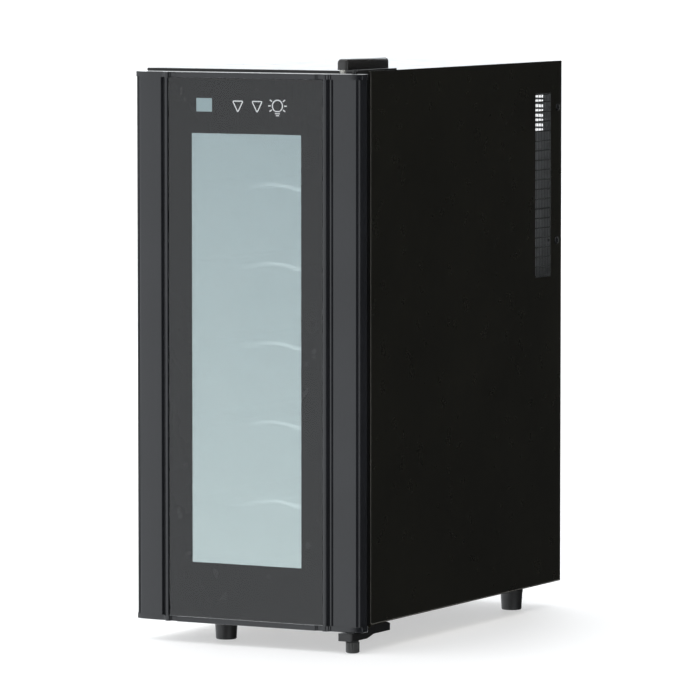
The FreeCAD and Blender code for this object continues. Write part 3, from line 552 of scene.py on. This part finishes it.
def make_gasket():
    """Ribbed magnetic seal with mitred corners."""
    low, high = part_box("door_gasket")
    deep = high.y - low.y
    wide = 12 * MM
    section = [(0, 0), (0, 0.3), (0.10, 0.42), (0.04, 0.58), (0.14, 0.72), (0.10, 1.0), (0.9, 1.0),
               (0.86, 0.72), (0.96, 0.58), (0.90, 0.42), (1.0, 0.3), (1.0, 0)]
    verts, faces = [], []
    for right, up in ((-1, -1), (1, -1), (1, 1), (-1, 1)):
        for inset, height in section:
            across = (high.x if right > 0 else low.x) - right * inset * wide
            level = (high.z if up > 0 else low.z) - up * inset * wide
            verts.append(Vector((across, low.y + height * deep, level)))
    count = len(section)
    for corner in range(4):
        after = (corner + 1) % 4
        for n in range(count):
            faces.append((corner * count + n, corner * count + (n + 1) % count,
                          after * count + (n + 1) % count, after * count + n))
    add_piece("seal", mesh_from("seal", verts, faces), "door", RUBBER, ["door_gasket"])


def make_door():
    make_columns()
    make_caps()
    make_window_film()
    make_touch_marks()
    make_gasket()
    dress("door_glass inner_glass", PANE)
    dress("glass_border", PRINT)
    dress("display_lens", DISPLAY_PAINTED_GLOW)
    dress("door_core door_liner", MOULDED)
    dress("control_board", BOARD)
    dress("upper_bushing lower_bushing", NYLON)
    soften("door_liner", 0.8 * MM)


# ---------------------------------------------------------------- hinges and feet


def make_hinge_cover():
    """Long moulded cover with rounded shoulders and bevelled ends."""
    low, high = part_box("hinge_cover")
    centre = (low.x + high.x) / 2
    half = (high.x - low.x) / 2
    tall = high.z - low.z
    corner = 4.6 * MM
    section = [(-half, 0), *arc((corner - half, tall - corner), corner, 180, 90, 8),
               *arc((half - corner, tall - corner), corner, 90, 0, 8), (half, 0)]
    length = (high.y - low.y) / MM
    # Each station says how far back it is and how far the section draws in there, in millimetres.
    stations = [(0, 1.6), (0.5, 0.8), (1.3, 0.3), (2.4, 0), (length - 2.6, 0), (length - 1.1, 0.5),
                (length, 1.9)]
    verts = []
    for along, draw in stations:
        shrink = 1 - draw * MM / half
        for across, up in section:
            verts.append(Vector((centre + across * shrink, low.y + along * MM,
                                 low.z + up * (1 - draw * MM / tall))))
    faces = stacked(len(section), len(stations))
    add_piece("hinge_cap", mesh_from("hinge_cap", verts, faces), "cabinet", COVER,
              ["hinge_cover"], degrees=40)


def round_part(node):
    """An upright round node's centre at floor level, its radius, and its bottom and top."""
    low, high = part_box(node)
    centre = Vector(((low.x + high.x) / 2, (low.y + high.y) / 2, 0))
    return centre, (high.x - low.x) / 2, low.z, high.z


def make_cover_support():
    """Pale turned foot under the front end of the cover."""
    centre, wide, bottom, top = round_part("cover_support")
    stem = wide - 0.7 * MM
    outline = [(ON_AXIS, bottom), (stem - 0.4 * MM, bottom), (stem, bottom + 0.4 * MM),
               (stem, top - 2.2 * MM), (wide, top - 1.8 * MM), (wide, top), (ON_AXIS, top)]
    verts, faces = lathe(outline, centre)
    add_piece("cover_foot", mesh_from("cover_foot", verts, faces), "cabinet", NYLON,
              ["cover_support"])


def make_feet():
    """Tapered round feet with a hollow sole, a rounded edge and a collar at the top."""
    hollow, edge = 1.2 * MM, 1.4 * MM
    for node in ("front_left_foot", "rear_left_foot", "rear_right_foot"):
        centre, wide, bottom, top = round_part(node)
        sole = wide - 1.5 * MM
        outline = [(ON_AXIS, hollow), (sole - 4 * MM, hollow), (sole - 3.4 * MM, 0), (sole - edge, 0),
                   *arc((sole - edge, edge), edge, -90, 0, 6), (wide - 0.4 * MM, top - 7 * MM),
                   (wide, top - 6.4 * MM), (wide, top - 0.6 * MM), (wide - 0.6 * MM, top), (ON_AXIS, top)]
        verts, faces = lathe(outline, centre, steps=64)
        add_piece(node + "_moulding", mesh_from(node, verts, faces), "cabinet", RUBBER,
                  [node])


def make_bracket_foot():
    """Ribbed foot under the lower hinge."""
    centre, wide, bottom, top = round_part("bracket_foot")
    neck, flare, grooves, groove_depth = wide - 0.9 * MM, 0.8 * MM, 24, 0.45 * MM
    levels = [(bottom, wide - 1.4 * MM), (flare, wide - 0.4 * MM), (1.4 * MM, wide),
              (top - 2 * MM, wide), (top - 1.4 * MM, neck), (top, neck)]
    steps = 144
    verts = []
    for height, radius in levels:
        grooved = flare < height < top - MM
        for step in range(steps):
            turn = 2 * math.pi * step / steps
            dent = groove_depth * max(0.0, math.cos(grooves * turn)) if grooved else 0
            out = radius - dent
            verts.append(centre + Vector((out * math.cos(turn), out * math.sin(turn), height)))
    mesh = mesh_from("bracket_foot", verts, stacked(steps, len(levels)))
    add_piece("bracket_foot_moulding", mesh, "cabinet", FOOT_GREY, ["bracket_foot"])


def make_hinges():
    make_hinge_cover()
    make_cover_support()
    make_bracket_foot()
    dress("upper_hinge_plate lower_hinge_bracket", MOULDED)
    soften("upper_hinge_plate", 0.4 * MM)
    soften("lower_hinge_bracket", 0.8 * MM, 3)
    dress("upper_hinge_pin", COVER)
    dress("lower_hinge_pin", STEEL)


# ---------------------------------------------------------------- screws


def screw_head(centre, out, radius, height):
    """Pan head with a cross recess; out points away from the sheet."""
    steps, slot_half, slot_reach = 48, 0.13, 0.60
    rings = [(1.0, 0.0), (1.0, 0.35), (0.94, 0.62), (0.80, 0.83), (0.62, 0.94), (0.44, 1.0),
             (0.22, 1.0), (0.08, 1.0)]
    up = out.normalized()
    right = up.orthogonal().normalized()
    ahead = up.cross(right)
    verts = []
    for share, lift in rings:
        for step in range(steps):
            turn = 2 * math.pi * step / steps
            across, along = share * math.cos(turn), share * math.sin(turn)
            nearer, farther = sorted((abs(across), abs(along)))
            sunk = 0.5 if nearer < slot_half and farther < slot_reach else 0.0
            verts.append(centre + (right * across + ahead * along) * radius + up * (lift - sunk) * height)
    return verts, stacked(steps, len(rings))


def islands(node):
    """Boxes of a node's unconnected patches; the CAD's mesh comes apart at the edges of its faces."""
    mesh = bmesh.new()
    mesh.from_mesh(nodes[node].data)
    left = set(mesh.verts)
    boxes = []
    for start in mesh.verts:
        if start not in left:
            continue
        left.remove(start)
        stack, group = [start], [start]
        while stack:
            vert = stack.pop()
            for edge in vert.link_edges:
                other = edge.other_vert(vert)
                if other in left:
                    left.remove(other)
                    stack.append(other)
                    group.append(other)
        spots = [vert.co.copy() for vert in group]
        boxes.append((Vector(map(min, *spots)), Vector(map(max, *spots))))
    mesh.free()
    return sorted(boxes, key=lambda pair: tuple(round(value, 5) for value in pair[0]))


def make_screws():
    """Cross-headed screws, one for each patch of the plain ones; a way points out of the sheet."""
    head = 1.8 * MM
    ways = {"side_screws_left": Vector((-1, 0, 0)), "side_screws_right": Vector((1, 0, 0)),
            "rear_screws": Vector((0, 1, 0)), "hinge_screws": Vector((0, 0, 1)),
            "bracket_screws": Vector((0, 0, -1))}
    for node, out in ways.items():
        axis = max(range(3), key=lambda n: abs(out[n]))
        parts = []
        for low, high in islands(node):
            centre = (low + high) / 2
            radius = max(high[n] - low[n] for n in range(3) if n != axis) / 2
            centre[axis] = (high[axis] if out[axis] > 0 else low[axis]) - out[axis] * head
            parts.append(screw_head(centre, out, radius, head))
        verts, faces = merge(parts)
        add_piece(node + "_heads", mesh_from(node, verts, faces), "cabinet", SCREW,
                  [node], degrees=50)


# ---------------------------------------------------------------- inside


def make_shelf(number):
    """Chrome wire shelf: wave wires across, rails and bars from front to back."""
    node = f"shelf_{number}"
    low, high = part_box(node)
    crest = high.z - 2.5 * MM
    rail = high.x - 2.5 * MM
    drop, length = 7.5 * MM, high.x + 1 * MM
    wave_radius, rail_radius, bar_radius = 2 * MM, 2.4 * MM, 1.5 * MM
    near, far = low.y + 3 * MM, high.y - 3 * MM

    def height(across):
        return crest - drop / 2 * (1 - math.cos(2 * math.pi * across / length))

    parts = []
    steps = 64
    stations = [rail * (2 * n / steps - 1) for n in range(steps + 1)]
    for back in (near, (near + far) / 2, far):
        parts.append(tube([Vector((spot, back, height(spot))) for spot in stations], wave_radius))
    for turn in (-1, 1):
        ends = [Vector((turn * rail, back, crest)) for back in (low.y + 0.2 * MM, high.y - 0.2 * MM)]
        parts.append(tube(ends, rail_radius, sides=16))
    for across in (-80, -28, 28, 80):
        spot = across * MM
        up = height(spot) - rail_radius
        ends = [Vector((spot, back, up)) for back in (near - 1.4 * MM, far + 1.4 * MM)]
        parts.append(tube(ends, bar_radius))
    verts, faces = merge(parts)
    add_piece(f"{node}_wires", mesh_from(node, verts, faces), node, CHROME_PAINTED_GLINT, [node])


def blade(centre, turn, hub, reach, deep):
    """One curved, twisted fan blade, as two skins joined around their rim."""
    rows, columns, skin_gap = 9, 7, 0.5 * MM
    verts, faces = [], []
    for skin in (-1, 1):
        for row in range(rows):
            out = row / (rows - 1)
            radius = hub - MM + (reach - hub + MM) * out
            for column in range(columns):
                t = column / (columns - 1)
                angle = turn + (0.55 + 0.16 * out) * (t - 0.5) + 0.10 * out
                depth = 1.2 * MM + (deep - 2.4 * MM) * t ** 1.15
                verts.append(centre + Vector((radius * math.cos(angle), depth + skin * skin_gap,
                                              radius * math.sin(angle))))
    size = rows * columns
    for skin in (0, size):
        for row in range(rows - 1):
            for column in range(columns - 1):
                corner = skin + row * columns + column
                faces.append((corner, corner + 1, corner + columns + 1, corner + columns))
    rim = (list(range(columns)) + [row * columns + columns - 1 for row in range(1, rows)]
           + [(rows - 1) * columns + n for n in range(columns - 2, -1, -1)]
           + [row * columns for row in range(rows - 2, 0, -1)])
    for here, there in zip(rim, rim[1:] + rim[:1]):
        faces.append((here, there, size + there, size + here))
    return verts, faces


def make_rotor(node):
    """Fan rotor: seven blades around a domed hub."""
    low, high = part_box(node)
    frame_low, frame_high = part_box(node.replace("rotor", "frame"))
    centre = Vector(((low.x + high.x) / 2, low.y, (frame_low.z + frame_high.z) / 2))
    deep = high.y - low.y
    hub, blades = 14.6 * MM, 7
    reach = (frame_high.x - frame_low.x) / 2 - 4.2 * MM
    outline = [(ON_AXIS, 0), (hub - 1.5 * MM, 0), (hub, 1.5 * MM), (hub, deep - 1 * MM),
               (hub - 1 * MM, deep - 0.3 * MM), (ON_AXIS, deep - 0.3 * MM)]
    parts = [lathe(outline, centre, "Y")]
    parts += [blade(centre, 2 * math.pi * n / blades, hub, reach, deep) for n in range(blades)]
    verts, faces = merge(parts)
    add_piece(node + "_blades", mesh_from(node, verts, faces), node, MOULDED, [node])


def make_inside():
    low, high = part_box("shelf_1")
    # A painted glint: the front wave wire of each shelf glows from a little left of the middle to the right.
    paint_glint(CHROME_PAINTED_GLINT, (-0.35 * high.x, 0.05 * high.x), (low.y + 8 * MM, low.y + 3 * MM), 2.0)
    for number in range(1, 6):
        make_shelf(number)
    for fan in ("cold_fan", "hot_fan"):
        make_rotor(fan + "_rotor")
        soften(fan + "_frame", 0.5 * MM)
    dress("inner_liner drip_tray fan_cover", LINER)
    dress("front_frame cold_fan_frame hot_fan_frame power_supply mains_inlet", MOULDED)
    dress("foam_insulation", FOAM)
    dress("cold_sink hot_sink cold_block", ALUMINIUM)
    dress("thermoelectric_module", CERAMIC)
    dress("lamp_board", BOARD)
    dress("lamp_lens", LAMP)
    soften("fan_cover", 1.2 * MM)
    soften("drip_tray", 0.5 * MM)
    soften("lamp_lens", 0.8 * MM)
    soften("power_supply", 1.0 * MM)


# ---------------------------------------------------------------- cabinet


def make_hems():
    """Rolled hem along the front and bottom edges of both side panels, in a lighter paint that is a painted
    highlight.
    """
    low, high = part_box("outer_shell")
    roll, corner = 0.9 * MM, 3 * MM
    sunk = roll * 0.8
    parts = []
    for turn in (-1, 1):
        at = turn * (high.x - sunk)
        line = [Vector((at, high.y, low.z + roll))]
        line += [Vector((at, back, up)) for back, up in
                 arc((low.y + roll + corner, low.z + roll + corner), corner, 270, 180, 8)]
        line.append(Vector((at, low.y + roll, high.z - roll)))
        parts.append(tube(line, roll, sides=16))
    line = [Vector((across, low.y + roll, high.z - sunk)) for across in (low.x + roll, high.x - roll)]
    parts.append(tube(line, roll, sides=16))
    verts, faces = merge(parts)
    add_piece("shell_hems", mesh_from("shell_hems", verts, faces), "cabinet", HEM_PAINTED_HIGHLIGHT)


def slat(turn, face, deep, half_wide, corner):
    """Section of a louvre slat: its front at the face, on the side that turn says."""
    corners = ((0, -half_wide), (0, half_wide), (deep, half_wide), (deep, -half_wide))
    return rounded([(turn * (face - down), wide) for down, wide in corners], corner, 3)


def make_vents():
    """Louvre inserts: fine upright ribs in front of level bars."""
    cell, pitch, inset, bar_set = 11 * MM, 4 * MM, 0.15 * MM, 0.35 * MM
    for node, turn in (("side_vent_left", -1), ("side_vent_right", 1)):
        low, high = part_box(node)
        face = (high.x if turn > 0 else -low.x) - inset
        rib = slat(turn, face, 0.6 * MM, 0.35 * MM, 0.2 * MM)
        bar = slat(turn, face - bar_set, 0.7 * MM, 0.8 * MM, 0.25 * MM)
        columns = [low.y + 0.5 * MM + n * pitch for n in range(int((high.y - low.y) / pitch) + 1)]
        columns.append(high.y - 0.5 * MM)
        rows = [low.z + 1 * MM + n * cell for n in range(round((high.z - low.z) / cell))]
        rows.append(high.z - 1 * MM)
        ribs = merge(prism([(across, back + at) for across, back in rib], low.z, high.z, upright)
                     for at in columns)
        bars = merge(prism([(across, up + at) for across, up in bar], low.y, high.y, facing)
                     for at in rows)
        add_piece(node + "_ribs", mesh_from(node + "_ribs", *ribs), "cabinet", VENT,
                  [node])
        # The bars take the darker moulded finish as painted shade; ribs and bars are one plastic.
        add_piece(node + "_bars", mesh_from(node + "_bars", *bars), "cabinet", MOULDED,
                  [node])


def make_cabinet():
    dress("outer_shell base_plate", PAINT)
    dress("rear_cover", two_sided("rear_sheet", (0.008, 0.008, 0.007), (0.55, 0.56, 0.58), (0, 1, 0)))
    dress("rear_bulkhead", INNER_SHEET)
    soften("base_plate", 0.6 * MM)
    make_hems()
    make_vents()
    make_rear_bumpers()


def make_rear_bumpers():
    """Domed rubber buttons that keep the back off the wall, one for each patch of the plain ones."""
    parts = []
    for box_low, box_high in islands("rear_spacers"):
        centre = Vector(((box_low.x + box_high.x) / 2, box_low.y, (box_low.z + box_high.z) / 2))
        radius = (box_high.x - box_low.x) / 2
        tall = box_high.y - box_low.y
        outline = [(radius, 0), (radius, tall * 0.5), (radius - 0.5 * MM, tall * 0.85),
                   (radius - 1.2 * MM, tall), (ON_AXIS, tall)]
        parts.append(lathe(outline, centre, "Y"))
    verts, faces = merge(parts)
    add_piece("rear_bumpers", mesh_from("rear_bumpers", verts, faces), "cabinet", RUBBER,
              ["rear_spacers"])


# ---------------------------------------------------------------- studio


def make_floor():
    """Wide pale floor that only the camera and soft light see, so that glossy faces stay clean."""
    made = new_finish("floor")
    drift = made.spread(made.noise(1.5, 3.0), 0, 1)
    made.feed("Base Color", made.mix(drift, (0.50, 0.50, 0.50), (0.52, 0.52, 0.52)))
    made.set(Roughness=0.7, Specular_IOR_Level=0.2, Emission_Color=(1, 1, 1, 1), Emission_Strength=0.5)
    reach = 40
    corners = [(-reach, -reach), (reach, -reach), (reach, reach), (-reach, reach)]
    mesh = mesh_from("floor", [Vector((x, y, 0)) for x, y in corners], [(0, 1, 2, 3)])
    floor = bpy.data.objects.new("floor", mesh)
    mesh.materials.append(made.material)
    bpy.context.scene.collection.objects.link(floor)
    floor.visible_glossy = False
    floor.visible_transmission = False


def sun_light(name, way, power, spread):
    """Even light from a wide patch of the ceiling; way points to it."""
    data = bpy.data.lights.new(name, "SUN")
    data.energy = power
    data.angle = math.radians(spread)
    data.specular_factor = 0
    light = bpy.data.objects.new(name, data)
    bpy.context.scene.collection.objects.link(light)
    light.rotation_mode = "QUATERNION"
    light.rotation_quaternion = (-Vector(way)).to_track_quat("-Z", "Y")


def make_world():
    """White studio: bright on the left, dark on the right, with a soft panel at the front right."""
    world = bpy.data.worlds.new("studio")
    bpy.context.scene.world = world
    world.use_nodes = True
    world.node_tree.nodes.clear()
    sky = Tree(world.node_tree)
    way = sky.add("ShaderNodeTexCoord").outputs["Generated"]
    across, ahead, up = (sky.axis(way, name) for name in "XYZ")

    def ramp(source, start, end, low, high):
        return sky.span(source, start, end, low, high, interpolation_type="SMOOTHSTEP")

    left = ramp(across, 0.10, -0.20, 0.015, 1.35)
    height = ramp(up, -0.25, 0.25, 1.25, 0.85)
    panel = sky.combine("MULTIPLY", ramp(across, 0.55, 0.75, 0, 2.2), ramp(ahead, -0.15, -0.5, 0, 1))
    behind = sky.combine("MULTIPLY", ramp(ahead, 0.3, 0.8, 0, 1.1), left)
    walls = sky.combine("ADD", sky.combine("MULTIPLY", left, height), panel)
    studio = sky.add("ShaderNodeBackground", Color=(0.93, 0.965, 1.0, 1))
    sky.link(sky.combine("ADD", walls, behind), studio.inputs["Strength"])
    white = sky.add("ShaderNodeBackground", Color=(1, 1, 1, 1), Strength=1.0)
    choose = sky.add("ShaderNodeMixShader")
    sky.link(sky.add("ShaderNodeLightPath").outputs["Is Camera Ray"], choose.inputs["Fac"])
    sky.link(studio.outputs[0], choose.inputs[1])
    sky.link(white.outputs[0], choose.inputs[2])
    sky.link(choose.outputs[0], sky.add("ShaderNodeOutputWorld").inputs["Surface"])


def make_camera():
    """Long lens from the front right, a little above the door's middle."""
    azimuth, elevation = math.radians(28.16), math.radians(4.5)
    back = Vector((math.sin(azimuth) * math.cos(elevation), -math.cos(azimuth) * math.cos(elevation),
                   math.sin(elevation)))
    data = bpy.data.cameras.new("camera")
    data.sensor_width = 36
    data.lens = 295.1
    data.clip_start, data.clip_end = 0.1, 200
    camera = bpy.data.objects.new("camera", data)
    bpy.context.scene.collection.objects.link(camera)
    camera.location = (3.019, -5.403 + cad_low.y + 5 * MM, 0.8104)
    camera.rotation_mode = "QUATERNION"
    camera.rotation_quaternion = (-back).to_track_quat("-Z", "Y")
    bpy.context.scene.camera = camera


def make_studio():
    make_floor()
    make_world()
    sun_light("overhead", (-0.05, -0.1, 1), 2.2, 75)
    make_camera()
    bpy.context.scene.view_settings.view_transform = "Standard"


make_door()
make_hinges()
make_feet()
make_screws()
make_inside()
make_cabinet()
make_studio()
